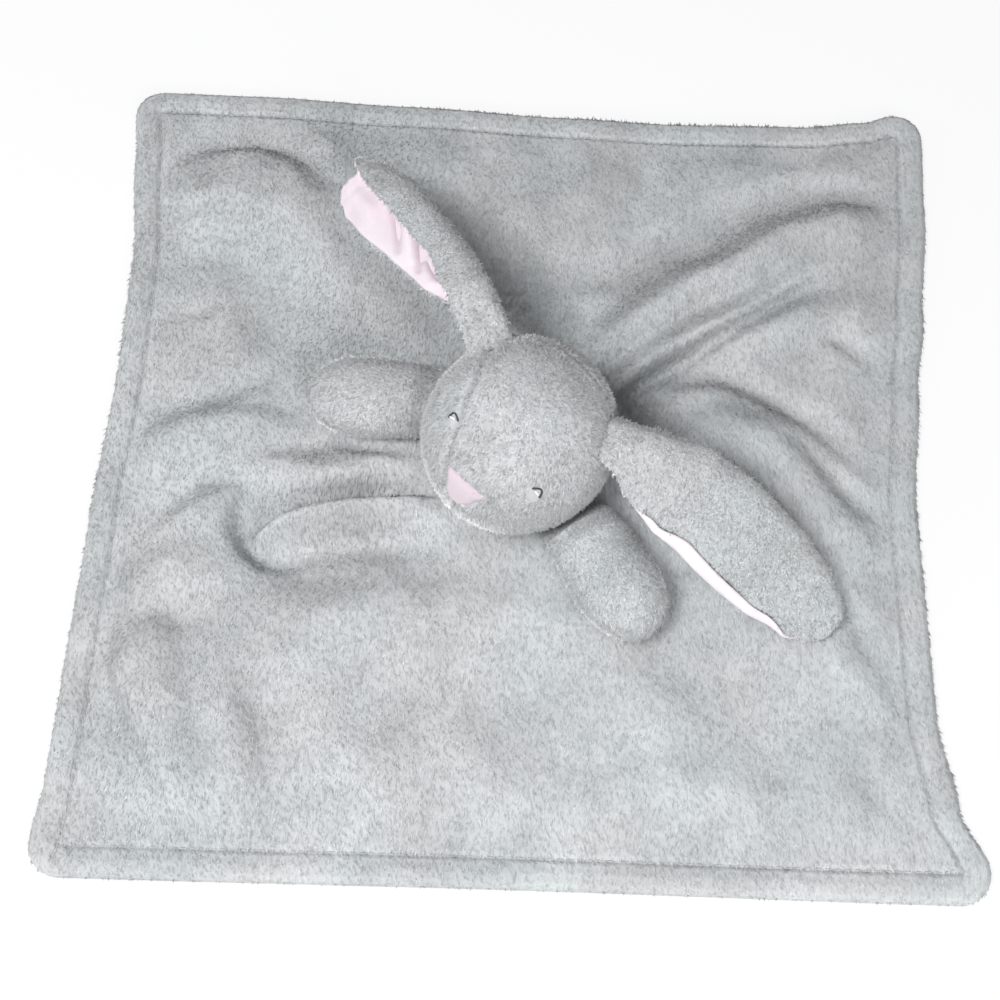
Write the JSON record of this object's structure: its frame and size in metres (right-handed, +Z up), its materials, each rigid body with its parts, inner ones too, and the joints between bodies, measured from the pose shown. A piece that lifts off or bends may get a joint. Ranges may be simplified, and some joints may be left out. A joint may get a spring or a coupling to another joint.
{
  "type": "comfort blanket",
  "caption": "Square plush comfort blanket lying open, with a stuffed rabbit head, lop ears with pink linings and stuffed arms sewn on at its middle.",
  "frame": {"origin": "on the table under the middle of the blanket's outline", "axes": "+Z up, X and Y along the sides of the blanket, the rabbit's face turned towards the -X -Y corner"},
  "size_m": [0.33, 0.33, 0.0812],
  "materials": {
    "grey_plush": "short soft pile, matte",
    "pink_plush": "short smooth pile, matte",
    "grey_thread": "sewing thread",
    "black_thread": "embroidery thread",
    "white_thread": "embroidery thread",
    "polyester_filling": "loose stuffing"
  },
  "bodies": {
    "blanket": {"blanket_back_panel": "grey_plush", "blanket_top_panel": "grey_plush", "hem_topstitch": "grey_thread", "neck_stitching": "grey_thread"},
    "head": {"forehead_gusset": "grey_plush", "right_cheek": "grey_plush", "left_cheek": "grey_plush", "back_of_head": "grey_plush", "head_filling": "polyester_filling", "nose": "pink_plush", "right_eye": "black_thread", "right_eye_glint": "white_thread", "left_eye": "black_thread", "left_eye_glint": "white_thread"},
    "ear_right": {"ear_right_outer": "grey_plush", "ear_right_lining": "pink_plush"},
    "ear_left": {"ear_left_outer": "grey_plush", "ear_left_lining": "pink_plush"},
    "arm_right": {"arm_right_cover": "grey_plush", "arm_right_filling": "polyester_filling"},
    "arm_left": {"arm_left_cover": "grey_plush", "arm_left_filling": "polyester_filling"}
  },
  "joints": [
    {"name": "head_turn", "type": "hinge", "parent": "blanket", "child": "head", "pos_m": [-0.001, -0.0127, 0.0141], "axis": [0, 0, 1], "range_deg": [-20, 25]},
    {"name": "ear_right_lift", "type": "hinge", "parent": "head", "child": "ear_right", "pos_m": [-0.0101, 0.01459, 0.07517], "axis": [0.9513, 0.3084, 0], "range_deg": [-8, 75]},
    {"name": "ear_left_lift", "type": "hinge", "parent": "head", "child": "ear_left", "pos_m": [0.0332, -0.02107, 0.06156], "axis": [-0.4025, -0.9154, 0], "range_deg": [0, 60]},
    {"name": "arm_right_lift", "type": "hinge", "parent": "blanket", "child": "arm_right", "pos_m": [-0.01882, 0.00776, 0.01423], "axis": [0.1933, 0.9811, 0], "range_deg": [0, 25]},
    {"name": "arm_left_lift", "type": "hinge", "parent": "blanket", "child": "arm_left", "pos_m": [0.01715, -0.03151, 0.0144], "axis": [-0.8137, -0.5812, 0], "range_deg": [0, 20]}
  ]
}
